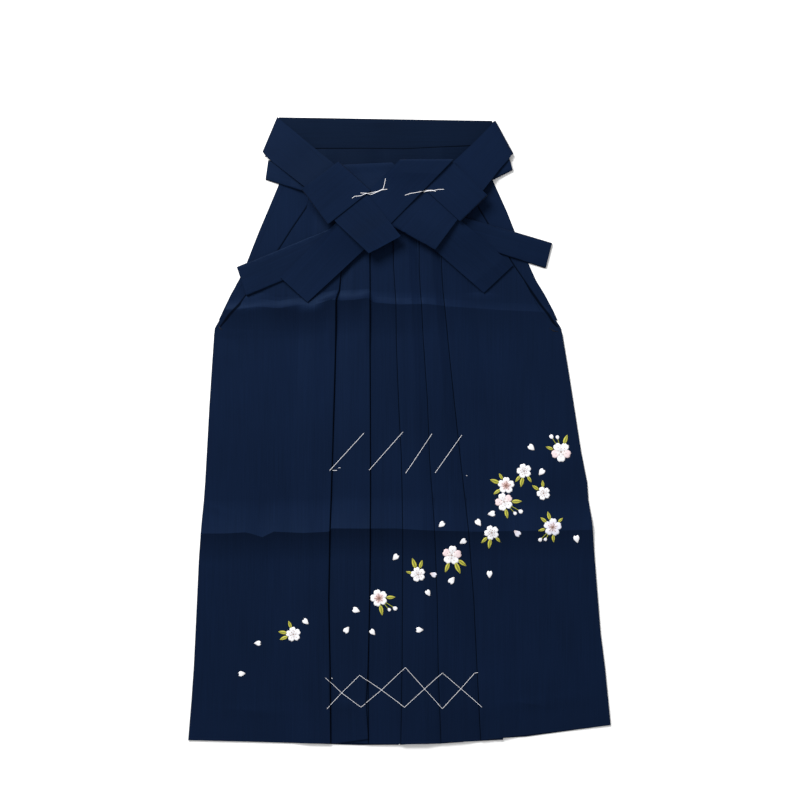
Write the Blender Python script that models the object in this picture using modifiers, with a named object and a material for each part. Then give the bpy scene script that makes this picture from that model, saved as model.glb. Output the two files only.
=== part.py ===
"""Women's hakama trousers, laid flat on a surface with the front up and the ties woven over the waist.

Tables are in millimetres: x to the right, y towards the waist, z up, with the origin on the surface under
the middle of the garment. Every piece of cloth is a mid surface with a wall added to both its sides.
"""

import math

import bmesh
import bpy
import numpy as np
from mathutils import Vector
from mathutils.bvhtree import BVHTree

MM = 0.001

# Thicknesses of the cloth and the gap between touching pieces
PANEL_WALL = 1.0
TIE_WALL = 1.8
GAP = 0.3
LAYER_STEP = PANEL_WALL + GAP
FOLD_STEPS = 3

# Where the side openings end, as y
SIDE_OPENING_Y = 159.0

# How far a knife pleat reaches under its neighbour, and the room that its ramps need
PLEAT_SHARE = 0.55
NOSE_ROOM = 3.0
EDGE_ROOM = 2.5
RAMP = 25.0
HIDDEN_HEM_RISE = 2.0

# Levels of a pleat below this one are hidden by its top layer
TOP_LEVEL = 1.6

# Where the panels have points between a side edge and the first ramp, as shares of that width
LEFT_SHARES = (0.0, 0.12, 0.45, 1.0)
RIGHT_SHARES = (0.0, 0.5, 0.88, 1.0)
BACK_SHARES = (0.0, 0.5, 1.0)

# Side edges of both panels below the side openings: y, left x, right x
SEAM_EDGES = (
    (159, -286.3, 250.6),
    (141, -288.0, 254.7),
    (92, -291.0, 262.0),
    (38, -294.5, 270.6),
    (-31, -298.3, 281.3),
    (-79, -301.0, 290.8),
    (-107, -303.0, 292.8),
    (-142, -306.5, 298.5),
    (-200, -310.8, 302.7),
    (-313, -316.0, 311.7),
    (-364, -318.5, 318.2),
    (-415, -322.0, 323.3),
    (-455, -325.3, 327.2),
    (-479, -327.2, 327.2),
)

# Slanted edges of the front panel beside the side openings: y, left x, right x
FRONT_OPENING_EDGES = (
    (424, -127.0, 108.0),
    (352, -139.3, 118.0),
    (313, -166.0, 141.6),
    (285, -183.7, 159.3),
    (257, -203.2, 176.5),
    (220, -229.0, 202.0),
    (197, -247.3, 218.0),
    (180, -263.5, 231.4),
    (166, -273.2, 240.3),
    (159.5, -278.0, 245.5),
)

# Edges of the back panel beside the side openings: y, left x, right x
BACK_OPENING_EDGES = (
    (425, -170.0, 128.0),
    (381, -187.5, 148.0),
    (341, -204.3, 166.2),
    (310, -217.5, 178.4),
    (259, -237.5, 200.3),
    (236, -248.0, 210.6),
    (212, -261.6, 225.4),
    (187, -273.6, 238.7),
    (169, -282.0, 246.9),
)

# Where the five front pleats fold: y, then x of folds 1 to 5
FRONT_FOLDS = (
    (424, -81.0, -47.5, -13.0, 18.0, 51.0),
    (300, -86.0, -47.0, -10.5, 26.0, 61.0),
    (242, -90.0, -45.5, -9.0, 30.5, 65.0),
    (216, -93.0, -45.3, -6.5, 32.5, 67.5),
    (199, -98.0, -45.5, -5.4, 34.0, 69.5),
    (135, -98.5, -45.5, -4.7, 37.3, 75.7),
    (48, -101.0, -45.0, -1.5, 43.4, 84.6),
    (-38, -103.5, -44.8, 3.0, 46.5, 94.0),
    (-75, -104.6, -44.6, 4.6, 47.7, 96.6),
    (-107, -105.7, -44.5, 5.6, 53.5, 103.5),
    (-158, -107.4, -45.0, 5.2, 54.7, 107.4),
    (-262, -109.4, -46.0, 4.8, 58.6, 115.2),
    (-364, -107.4, -48.4, 4.2, 60.0, 120.0),
    (-417, -106.8, -51.8, 3.2, 61.0, 122.7),
    (-476, -106.2, -47.9, 2.3, 64.2, 125.7),
)
LEFT_FOLDS = 2

# Hem of each strip between the folds, from the left panel to the right one: y at its left, y at its right
FRONT_HEMS = (
    (-478.6, -483.7),
    (-484.5, -475.5),
    (-483.5, -484.0),
    (-484.0, -483.5),
    (-481.5, -479.8),
    (-478.5, -455.3),
)

# Hem of the back panel, which shows as a narrow step under the front: x, y
BACK_HEM = (
    (-327, -478.6),
    (-158, -483.2),
    (-152, -486.6),
    (50, -485.6),
    (56, -481.6),
    (134, -479.6),
    (182, -475.0),
    (253, -465.2),
    (327, -455.3),
)

# Inverted box pleat at the centre of the back: y, x of the meeting folds, depth under each side
BACK_PLEAT = (
    (425, -8.0, 24.0),
    (-480, 0.0, 38.0),
)
BACK_FOLD_PARTING = 0.9

# The front rises over the layers of the back pleat: half widths where the rise is full and where it ends
PLEAT_RISE_FULL = 52.0
PLEAT_RISE_END = 86.0

# Creases across the front from when it lay folded in three: y of the crest, height, reach up, reach down
STORAGE_CREASES = (
    (196, 3.6, 20.0, 44.0),
    (-155, 3.0, 18.0, 42.0),
)

FRONT_STATIONS = (
    424, 380, 345, 313, 285, 257, 216, 206, 196, 183, 168, 159.5, 152, 100, 38, -31,
    -79, -107, -137, -146, -155, -168, -183, -200, -262, -313, -364, -417, -446,
)
BACK_STATIONS = (
    425, 381, 341, 310, 259, 236, 212, 187, 159, 92, 38, -31, -79, -107, -142, -200, -313, -364,
    -415, -446,
)

# How a tie settles: spacing of its cross lines, of the points felt under it, its steepest slope
TIE_STATION = 10.0
FEEL_STEP = 3.0
FEEL_MARGIN = 4.0
STEEPEST = 0.24
ROUNDING_PASSES = 3
TIE_ACROSS = 3

# Cross lines of each stretch of band or tie, from its start to its end: x, y of one edge, x, y of the other
BACK_WAISTBAND = (
    (-186.6, 486.5, -208.5, 425.3),
    (143.2, 481.0, 170.5, 425.3),
)
FRONT_WAISTBAND = (
    (-135.0, 436.7, -135.0, 381.0),
    (-60.0, 436.7, -60.0, 380.0),
    (8.0, 436.0, 8.0, 380.0),
    (115.6, 441.4, 115.6, 383.0),
)
FRONT_TIE_LEFT = (
    (-203.1, 420.4, -207.5, 389.4),
    (236.5, 291.8, 226.3, 252.1),
)
FRONT_TIE_RIGHT = (
    (165.2, 440.6, 175.3, 404.2),
    (-107.6, 313.5, -89.4, 270.7),
    (-251.7, 254.3, -236.2, 209.2),
)
BACK_TIE_LEFT_END = (
    (-98.3, 411.9, -12.2, 415.3),
    (130.5, 214.4, 175.8, 256.8),
)
BACK_TIE_RIGHT_OVER = (
    (149.0, 480.9, 176.9, 429.7),
    (120.3, 451.4, 155.9, 406.5),
    (84.6, 417.3, 129.6, 372.4),
    (41.5, 370.8, 90.4, 327.6),
    (19.0, 358.5, 82.0, 316.2),
    (-16.0, 319.0, 54.7, 279.4),
)
BACK_TIE_RIGHT_LOOP = (
    (80.0, 416.5, 39.5, 372.5),
    (134.2, 364.8, 92.0, 324.3),
)
BACK_TIE_RIGHT_END = (
    (1.7, 418.6, 84.0, 418.9),
    (-91.3, 327.7, -27.7, 305.0),
    (-184.5, 238.3, -142.1, 199.6),
)
BACK_TIE_LEFT_OVER = (
    (-189.7, 486.6, -212.4, 432.8),
    (-154.1, 456.9, -202.9, 422.0),
    (-100.8, 412.7, -143.7, 375.5),
    (-44.3, 358.6, -97.2, 321.2),
    (2.5, 299.8, -46.5, 273.2),
)
BACK_TIE_LEFT_LOOP = (
    (-95.0, 413.5, -45.5, 369.0),
    (-148.5, 373.5, -108.3, 319.2),
)

# Length of the layer turned under at a folded end, and of the stub at a fold beside the waistband
TURNED_UNDER = {"folded": 20.0, "corner": 0.6}
TURNED_INSET = {"folded": 1.5, "corner": 0.0}

# Curl of a loop's end over the edge of the tie inside it
CURL_RADIUS = 1.6
CURL_ANGLES = (35, 80)
CURL_DROP = 0.5

# Edge of a front tie folded up into three layers: inset from the edge, height
BUNDLE_EDGE = (
    (0.6, 0.0),
    (0.0, 0.55),
    (0.5, 1.1),
    (1.8, 1.25),
    (0.9, 1.4),
    (0.5, 1.9),
    (1.0, 2.4),
    (2.3, 2.55),
    (1.5, 2.7),
    (1.1, 3.15),
    (1.9, 3.7),
)

# Colours: name, base colour, roughness
FINISHES = {
    "panel": ("navy_twill", (0.0075, 0.0185, 0.052, 1.0), 0.62),
    "tie": ("navy_tie_cloth", (0.0085, 0.021, 0.058, 1.0), 0.58),
}

settled = []


def start_scene():
    """Empty the scene and return the collection that holds the garment."""
    for obj in list(bpy.data.objects):
        bpy.data.objects.remove(obj, do_unlink=True)
    collection = bpy.data.collections.new("hakama_trousers")
    bpy.context.scene.collection.children.link(collection)
    return collection


def finish(obj, kind, collection):
    """Give the object its own material, shade it, and let later pieces settle on it."""
    name, colour, roughness = FINISHES[kind]
    material = bpy.data.materials.new(f"{obj.name}_{name}")
    material.use_nodes = True
    shader = material.node_tree.nodes["Principled BSDF"]
    shader.inputs["Base Color"].default_value = colour
    shader.inputs["Roughness"].default_value = roughness
    shader.inputs["Metallic"].default_value = 0.0
    obj.data.materials.append(material)
    obj.data.shade_smooth()
    obj.data.set_sharp_from_angle(angle=math.radians(40))
    collection.objects.link(obj)
    bpy.context.view_layer.update()
    settled.append(BVHTree.FromObject(obj, bpy.context.evaluated_depsgraph_get()))


def sheet(name, rows, wall):
    """A mid surface through rows of points, with a wall of cloth added to both sides."""
    across = len(rows[0])
    bm = bmesh.new()
    bmesh.ops.create_grid(bm, x_segments=across - 1, y_segments=len(rows) - 1, size=1.0)
    grid = sorted(bm.verts, key=lambda v: (round(v.co.y, 5), round(v.co.x, 5)))
    for vert, point in zip(grid, (point for row in rows for point in row)):
        vert.co = Vector(point) * MM
    mesh = bpy.data.meshes.new(name)
    bm.to_mesh(mesh)
    bm.free()
    obj = bpy.data.objects.new(name, mesh)
    thicken = obj.modifiers.new("wall", "SOLIDIFY")
    thicken.thickness = wall * MM
    thicken.offset = 0.0
    return obj


def read_table(table, y):
    """One row of a table at this y, with the values between its rows worked out."""
    rows = np.array(sorted(table))
    return [float(np.interp(y, rows[:, 0], column)) for column in rows[:, 1:].T]


def fold(centre, way, start_level, end_level):
    """Points round a fold between two layers. way is 1 where the nose of the fold points right."""
    middle = (start_level + end_level) / 2
    half = (end_level - start_level) / 2
    for step in range(FOLD_STEPS + 1):
        angle = math.pi * (step / FOLD_STEPS - 0.5)
        yield centre + way * LAYER_STEP / 2 * math.cos(angle), middle + half * math.sin(angle)


def smooth_step(value):
    value = min(max(value, 0.0), 1.0)
    return value * value * (3 - 2 * value)


def crease_height(y):
    """Height that the storage creases lift the front by at this y."""
    total = 0.0
    for crest, height, reach_up, reach_down in STORAGE_CREASES:
        reach = reach_up if y > crest else reach_down
        total += height * smooth_step(1 - abs(y - crest) / reach)
    return total


def front_section(y):
    """Points of the front panel across the garment at this y: x, layer, strip, hidden or not."""
    edges = FRONT_OPENING_EDGES if y > SIDE_OPENING_Y else SEAM_EDGES
    left, right = read_table(edges, y)
    folds = read_table(FRONT_FOLDS, y)
    nose = (LAYER_STEP + PANEL_WALL) / 2
    depths = [PLEAT_SHARE * (folds[1] - folds[0])] * LEFT_FOLDS
    depths += [PLEAT_SHARE * (b - a) for a, b in zip(folds[LEFT_FOLDS:], folds[LEFT_FOLDS + 1 :])]
    depths.append(depths[-1])
    points = []
    first_rise = folds[0] - depths[0] - NOSE_ROOM - RAMP
    points += [(left + (first_rise - left) * share, 0.0, 0, False) for share in LEFT_SHARES]
    for i, (x, depth) in enumerate(zip(folds, depths)):
        if i < LEFT_FOLDS:
            points.append((x - depth - NOSE_ROOM, 2.0, i, False))
            points += [(px, level, i, level < TOP_LEVEL) for px, level in fold(x - nose, 1, 2, 1)]
            points += [(px, level, i + 1, True) for px, level in fold(x - depth, -1, 1, 0)]
            points.append((x + EDGE_ROOM, 0.0, i + 1, False))
        else:
            points.append((x - EDGE_ROOM, 0.0, i, False))
            points += [(px, level, i, True) for px, level in fold(x + depth, 1, 0, 1)]
            points += [(px, level, i + 1, level < TOP_LEVEL) for px, level in fold(x + nose, -1, 1, 2)]
            points.append((x + depth + NOSE_ROOM, 2.0, i + 1, False))
    last_fall = folds[-1] + depths[-1] + NOSE_ROOM + RAMP
    last = len(folds)
    points += [(last_fall + (right - last_fall) * share, 0.0, last, False) for share in RIGHT_SHARES]
    return points


def front_base(x):
    """Height of the middle of the lowest front layer, which rises over the back pleat."""
    flat = PANEL_WALL + GAP + PANEL_WALL / 2
    rise = smooth_step((PLEAT_RISE_END - abs(x)) / (PLEAT_RISE_END - PLEAT_RISE_FULL))
    return flat + 2 * LAYER_STEP * rise


def front_hem(x, strip, hidden):
    """The y of the hem under this strip. Layers inside a pleat are cut a little shorter."""
    y = FRONT_STATIONS[-1]
    left, right = read_table(SEAM_EDGES, y)
    bounds = [left] + read_table(FRONT_FOLDS, y) + [right]
    hem = float(np.interp(x, bounds[strip : strip + 2], FRONT_HEMS[strip]))
    return hem + HIDDEN_HEM_RISE * hidden


def build_front_panel():
    rows = []
    for y in FRONT_STATIONS:
        lift = crease_height(y)
        section = front_section(y)
        rows.append([(x, y, front_base(x) + level * LAYER_STEP + lift) for x, level, _, _ in section])
    section = front_section(min(min(pair) for pair in FRONT_HEMS))
    rows.append(
        [
            (x, front_hem(x, strip, hidden), front_base(x) + level * LAYER_STEP)
            for x, level, strip, hidden in section
        ]
    )
    return sheet("front_panel", rows, PANEL_WALL)


def back_section(y):
    """Points of the back panel across the garment at this y: x, layer. The outer face is underneath."""
    edges = BACK_OPENING_EDGES + SEAM_EDGES
    left, right = read_table(edges, y)
    centre, depth = read_table(BACK_PLEAT, y)
    nose = (LAYER_STEP + PANEL_WALL) / 2 + BACK_FOLD_PARTING
    points = [(left + (centre - depth - RAMP - left) * share, 0.0) for share in BACK_SHARES]
    points += fold(centre - nose, 1, 0, 1)
    points += fold(centre - depth, -1, 1, 2)
    points += fold(centre + depth, 1, 2, 1)
    points += fold(centre + nose, -1, 1, 0)
    points += [(right + (centre + depth + RAMP - right) * share, 0.0) for share in reversed(BACK_SHARES)]
    return points


def build_back_panel():
    rows = []
    for y in BACK_STATIONS:
        rows.append([(x, y, PANEL_WALL / 2 + level * LAYER_STEP) for x, level in back_section(y)])
    hem = np.array(BACK_HEM).T
    section = back_section(hem[1].min())
    rows.append(
        [
            (
                x,
                float(np.interp(x, hem[0], hem[1])) + HIDDEN_HEM_RISE * (level > 0.5),
                PANEL_WALL / 2 + level * LAYER_STEP,
            )
            for x, level in section
        ]
    )
    return sheet("back_panel", rows, PANEL_WALL)


def between(first, second, share):
    return first + (second - first) * share


def cross_lines(table):
    """The table's cross lines filled in at an even spacing, each a pair of edge points."""
    given = np.array(table, float).reshape(-1, 2, 2)
    middles = given.mean(axis=1)
    run = np.concatenate([[0.0], np.cumsum(np.linalg.norm(np.diff(middles, axis=0), axis=1))])
    count = max(2, round(run[-1] / TIE_STATION))
    lines = []
    for distance in np.linspace(0.0, run[-1], count + 1):
        i = min(int(np.searchsorted(run, distance, side="right")) - 1, len(run) - 2)
        lines.append(between(given[i], given[i + 1], (distance - run[i]) / (run[i + 1] - run[i])))
    return lines


def height_at(x, y):
    """Top of what already lies at this place."""
    top = 0.0
    for tree in settled:
        hit = tree.ray_cast(Vector((x * MM, y * MM, 1.0)), Vector((0.0, 0.0, -1.0)))[0]
        if hit is not None:
            top = max(top, hit.z / MM)
    return top


def highest_between(first, second):
    """Highest point under the strip between two cross lines, felt a little past its sides."""
    width = np.linalg.norm(first[1] - first[0])
    length = np.linalg.norm(second.mean(axis=0) - first.mean(axis=0))
    side = FEEL_MARGIN / width
    shares = np.linspace(0.0, 1.0, max(2, int(length / FEEL_STEP) + 2))
    across = np.linspace(-side, 1 + side, int(width / FEEL_STEP) + 4)
    return max(
        height_at(*between(*between(first, second, share), place)) for share in shares for place in across
    )


def outward(line, inner):
    """The direction square to a cross line, away from the inner one, and how far apart the two are along it."""
    along = line[1] - line[0]
    square = np.array([along[1], -along[0]]) / np.linalg.norm(along)
    apart = np.dot(square, line.mean(axis=0) - inner.mean(axis=0))
    return (square, apart) if apart > 0 else (-square, -apart)


def beyond(line, inner, distance):
    """The cross line moved outwards, away from the inner one, square to itself."""
    return line + outward(line, inner)[0] * distance


def drawn_in(kind, line, inner, distance):
    """The cross line moved inwards: along the tie's own edges at a fold, square to itself at a corner."""
    if kind == "corner":
        return beyond(line, inner, -distance)
    return between(line, inner, distance / outward(line, inner)[1])


def narrowed(line, inset):
    """The cross line with both its ends moved towards its middle."""
    side = inset / np.linalg.norm(line[1] - line[0])
    return np.array([between(*line, side), between(*line, 1 - side)])


def settle(lines, under=()):
    """Height of the underside at each cross line: on what lies there, never steeper than the cloth bends."""
    outer = [beyond(lines[0], lines[1], FEEL_MARGIN), *lines, beyond(lines[-1], lines[-2], FEEL_MARGIN)]
    felt = [highest_between(a, b) for a, b in zip(outer, outer[1:])]
    rests = [max(a, b) for a, b in zip(felt, felt[1:])]
    for i, top in under:
        rests[i] = max(rests[i], top)
    heights = [rest + GAP if rest > 0 else 0.0 for rest in rests]
    steps = [np.linalg.norm(b.mean(axis=0) - a.mean(axis=0)) for a, b in zip(lines, lines[1:])]
    for i, step in enumerate(steps):
        heights[i + 1] = max(heights[i + 1], heights[i] - STEEPEST * step)
    for i, step in reversed(list(enumerate(steps))):
        heights[i] = max(heights[i], heights[i + 1] - STEEPEST * step)
    for _ in range(ROUNDING_PASSES):
        middles = [(a + b) / 2 for a, b in zip(heights, heights[2:])]
        heights[1:-1] = [max(h, m) for h, m in zip(heights[1:-1], middles)]
    return heights


def points_across(line, z):
    return [(*between(line[0], line[1], i / TIE_ACROSS), z) for i in range(TIE_ACROSS + 1)]


def rest_of_turned_layer(kind, line, inner):
    """Height under the layer that a fold turns under. A corner of the waistband lies on the floor."""
    if kind == "corner":
        return 0.0
    return max(settle([drawn_in(kind, line, inner, d) for d in (TIE_WALL, TURNED_UNDER[kind])]))


def folded_end(kind, line, inner, low, high):
    """Rows from the free edge of the layer turned under, round the fold, up to the layer on top of it."""
    radius = (high - low) / 2
    nose = radius + TIE_WALL / 2
    free_edge = drawn_in(kind, line, inner, nose + TURNED_UNDER[kind])
    rows = [points_across(narrowed(free_edge, TURNED_INSET[kind]), low)]
    for step in range(FOLD_STEPS + 1):
        angle = math.pi * (step / FOLD_STEPS - 0.5)
        edge = drawn_in(kind, line, inner, nose - radius * math.cos(angle))
        rows.append(points_across(edge, (low + high) / 2 + radius * math.sin(angle)))
    return rows


def curled_end(line, inner, height):
    """Rows of a loop's end that bends down over the edge of the tie inside it, from its lowest edge up."""
    rows = []
    for angle in CURL_ANGLES:
        turn = math.radians(angle)
        edge = beyond(line, inner, CURL_RADIUS * math.sin(turn))
        rows.append(points_across(edge, height - CURL_RADIUS * (1 - math.cos(turn))))
    rows.append([(x, y, z - CURL_DROP) for x, y, z in rows[-1]])
    return rows[::-1]


def build_tie(name, table, start="cut", end="cut"):
    """A stretch of tie laid on what is there. Each end is cut, folded, at a corner or curled."""
    lines = cross_lines(table)
    ends = ((start, lines[0], lines[1]), (end, lines[-1], lines[-2]))
    turned = [kind in TURNED_UNDER and rest_of_turned_layer(kind, a, b) for kind, a, b in ends]
    under = []
    for side, (kind, line, inner) in enumerate(ends):
        if kind in TURNED_UNDER:
            reached = range(int(TURNED_UNDER[kind] / outward(line, inner)[1]) + 2)
            under += [(-1 - j if side else j, turned[side] + TIE_WALL) for j in reached]
    heights = [height + TIE_WALL / 2 for height in settle(lines, under)]
    rows = [points_across(line, height) for line, height in zip(lines, heights)]
    for side, (kind, line, inner) in enumerate(ends):
        last = -1 if side else 0
        extra = []
        if kind in TURNED_UNDER:
            extra = folded_end(kind, line, inner, turned[side] + TIE_WALL / 2, heights[last])
            rows.pop(last)
        elif kind == "curled":
            extra = curled_end(line, inner, heights[last])
        rows = rows + extra[::-1] if side else extra + rows
    return sheet(name, rows, TIE_WALL)


def build_band_on_floor(name, table):
    """A stretch of band that lies straight on the surface."""
    rows = [points_across(line, TIE_WALL / 2) for line in cross_lines(table)]
    return sheet(name, rows, TIE_WALL)


def build_bundle(name, table):
    """A long tie folded up into a flat bundle, with its layers showing along both edges."""
    lines = cross_lines(table)
    heights = settle(lines)
    bm = bmesh.new()
    rings = []
    for line, height in zip(lines, heights):
        across = (line[1] - line[0]) / np.linalg.norm(line[1] - line[0])
        near = [(*(line[0] + across * inset), height + up) for inset, up in BUNDLE_EDGE]
        far = [(*(line[1] - across * inset), height + up) for inset, up in reversed(BUNDLE_EDGE)]
        rings.append([bm.verts.new(Vector(point) * MM) for point in near + far])
    for ring, following in zip(rings, rings[1:]):
        for i in range(len(ring)):
            bm.faces.new((ring[i - 1], ring[i], following[i], following[i - 1]))
    bm.faces.new(rings[0])
    bm.faces.new(rings[-1])
    bmesh.ops.recalc_face_normals(bm, faces=bm.faces)
    mesh = bpy.data.meshes.new(name)
    bm.to_mesh(mesh)
    bm.free()
    return bpy.data.objects.new(name, mesh)


def main():
    garment = start_scene()
    finish(build_back_panel(), "panel", garment)
    finish(build_band_on_floor("back_waistband", BACK_WAISTBAND), "tie", garment)
    finish(build_front_panel(), "panel", garment)
    finish(build_tie("front_waistband", FRONT_WAISTBAND), "tie", garment)
    finish(build_bundle("front_tie_left", FRONT_TIE_LEFT), "tie", garment)
    finish(build_bundle("front_tie_right", FRONT_TIE_RIGHT), "tie", garment)
    finish(build_tie("back_tie_left_end", BACK_TIE_LEFT_END, start="folded"), "tie", garment)
    finish(build_tie("back_tie_right_over", BACK_TIE_RIGHT_OVER, "corner", "folded"), "tie", garment)
    finish(build_tie("back_tie_right_loop", BACK_TIE_RIGHT_LOOP, "curled", "curled"), "tie", garment)
    finish(build_tie("back_tie_right_end", BACK_TIE_RIGHT_END, start="folded"), "tie", garment)
    finish(build_tie("back_tie_left_over", BACK_TIE_LEFT_OVER, "corner", "folded"), "tie", garment)
    finish(build_tie("back_tie_left_loop", BACK_TIE_LEFT_LOOP, "curled", "curled"), "tie", garment)


main()
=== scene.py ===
"""Women's hakama trousers of navy polyester twill, laid flat with the front up.

Sizes are in millimetres unless a name says metres: x to the right, y towards the waist, z up.
"""

import math
import random

import bmesh
import bpy
import numpy as np
from mathutils import Matrix, Vector, noise
from mathutils.bvhtree import BVHTree


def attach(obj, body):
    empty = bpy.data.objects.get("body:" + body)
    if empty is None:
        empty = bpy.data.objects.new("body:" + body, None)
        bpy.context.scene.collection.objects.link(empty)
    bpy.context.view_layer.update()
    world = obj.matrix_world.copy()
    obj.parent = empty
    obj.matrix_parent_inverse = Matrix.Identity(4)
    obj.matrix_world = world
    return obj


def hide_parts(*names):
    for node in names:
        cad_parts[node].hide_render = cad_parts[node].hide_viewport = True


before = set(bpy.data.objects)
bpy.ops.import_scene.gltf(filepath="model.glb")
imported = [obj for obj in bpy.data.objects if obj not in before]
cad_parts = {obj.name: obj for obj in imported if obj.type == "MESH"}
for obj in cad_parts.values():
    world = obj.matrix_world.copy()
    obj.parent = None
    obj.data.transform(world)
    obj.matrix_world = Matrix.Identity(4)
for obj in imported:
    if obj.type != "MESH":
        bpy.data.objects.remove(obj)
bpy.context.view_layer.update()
MM = 0.001

# Camera. The garment was seen from straight above through a long lens. The view is 1240 mm wide, so one pixel
# of the 800 x 800 frame is 1.55 mm.
VIEW_WIDTH = 1240.0
VIEW_CENTRE = (0.9, 48.4)
CAMERA_HEIGHT = 3000.0
SENSOR_WIDTH = 36.0

lens = bpy.data.cameras.new("overhead")
lens.sensor_width = SENSOR_WIDTH
lens.lens = SENSOR_WIDTH * CAMERA_HEIGHT / VIEW_WIDTH
lens.clip_end = 20.0
camera = bpy.data.objects.new("overhead", lens)
camera.location = (VIEW_CENTRE[0] * MM, VIEW_CENTRE[1] * MM, CAMERA_HEIGHT * MM)
bpy.context.scene.collection.objects.link(camera)
bpy.context.scene.camera = camera

# Back panel. One wide sheet of navy twill with an inverted box pleat at its centre. Seen through the side
# openings it shows its inner side, where the edge is turned in 8 mm and sewn blind. Two storage creases cross
# the whole garment, from when it lay folded in three.
PANEL_WALL = 1.0
PANEL_BOTTOM = -476.0  # y of the lowest cut across the panels
BACK_TOP = 420.0  # y of the highest cut across the back panel
SIDE_LIMITS = (-320.0, 325.0)  # x between which all the cloth is cut
GRAIN = 9.0  # spacing of the cuts that let the cloth bend
CREASE_GRAIN = 4.0
TOUCHING = 0.00001  # metres: points this near to each other are merged
CUT_SLACK = 0.00002  # metres: points this near to a cut lie on it

# Crest of the upper and lower storage crease on the front: x, y, height
UPPER_CREASE = (
    (-330, 188, 3.2),
    (-244, 190, 5.6),
    (-217, 193, 5.0),
    (-187, 190, 6.3),
    (-157, 195, 7.2),
    (-118, 201, 7.6),
    (-98, 205, 8.0),
    (-93, 202, 6.4),
    (-70, 203, 7.0),
    (-48, 206, 7.8),
    (-40, 199, 5.4),
    (0, 196, 4.6),
    (40, 197, 3.6),
    (80, 193, 2.4),
    (150, 188, 1.5),
    (220, 185, 1.2),
    (330, 184, 1.0),
)
LOWER_CREASE = (
    (-330, -158, 4.2),
    (-270, -158, 5.4),
    (-236, -156, 6.0),
    (-211, -164, 5.4),
    (-196, -155, 6.2),
    (-150, -157, 6.2),
    (-109, -155, 6.2),
    (-105, -150, 6.4),
    (-45, -150, 6.4),
    (-6, -150, 5.6),
    (47, -153, 5.8),
    (114, -155, 4.8),
    (200, -154, 4.0),
    (330, -152, 3.0),
)
# Both creases: crest, its y in the solids, reach above and below the crest, how fast each side flattens
STORAGE_CREASES = (
    (np.array(UPPER_CREASE, float).T, 196, (22.0, 56.0), (3.4, 2.0)),
    (np.array(LOWER_CREASE, float).T, -155, (52.0, 48.0), (1.7, 2.0)),
)
CREST_SHIFT_REACH = 40.0
BACK_SHARE = 0.8  # how much of the creases' height the back panel has

# Edge of the back panel beside the side openings: y, left x, right x
BACK_OPENING_EDGES = (
    (420, -171.0, 129.0),
    (381, -187.5, 148.0),
    (341, -204.3, 166.2),
    (310, -217.5, 178.4),
    (259, -237.5, 200.3),
    (236, -248.0, 210.6),
    (212, -261.6, 225.4),
    (187, -273.6, 238.7),
    (172, -280.5, 245.4),
)
OPENING_SHADOW_LINES = (2.8, 2.4)  # widths of the painted shadow lines beside the left and right edge of the front panel
# Edge of the front panel beside the side openings, where it lies on the back panel: y, left x, right x
FRONT_OPENING_EDGES = (
    (424, -127.0, 108.0),
    (352, -139.3, 118.0),
    (313, -166.0, 141.6),
    (285, -183.7, 159.3),
    (257, -203.2, 176.5),
    (220, -229.0, 202.0),
    (197, -247.3, 218.0),
    (180, -263.5, 231.4),
    (166, -273.2, 240.3),
    (159.5, -278.0, 245.5),
)


def linear(hex_colour):
    """An sRGB hex value as linear red, green, blue and alpha."""
    shares = [int(hex_colour[i : i + 2], 16) / 255 for i in (1, 3, 5)]
    return (*(s / 12.92 if s <= 0.04045 else ((s + 0.055) / 1.055) ** 2.4 for s in shares), 1.0)


def add_node(tree, kind, inputs=None, links=None, **settings):
    """Add a node to the tree with its settings, its plain inputs and the sockets that feed it."""
    new = tree.nodes.new(kind)
    for name, value in settings.items():
        setattr(new, name, value)
    for socket, value in (inputs or {}).items():
        new.inputs[socket].default_value = value
    for socket, source in (links or {}).items():
        tree.links.new(source, new.inputs[socket])
    return new


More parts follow.
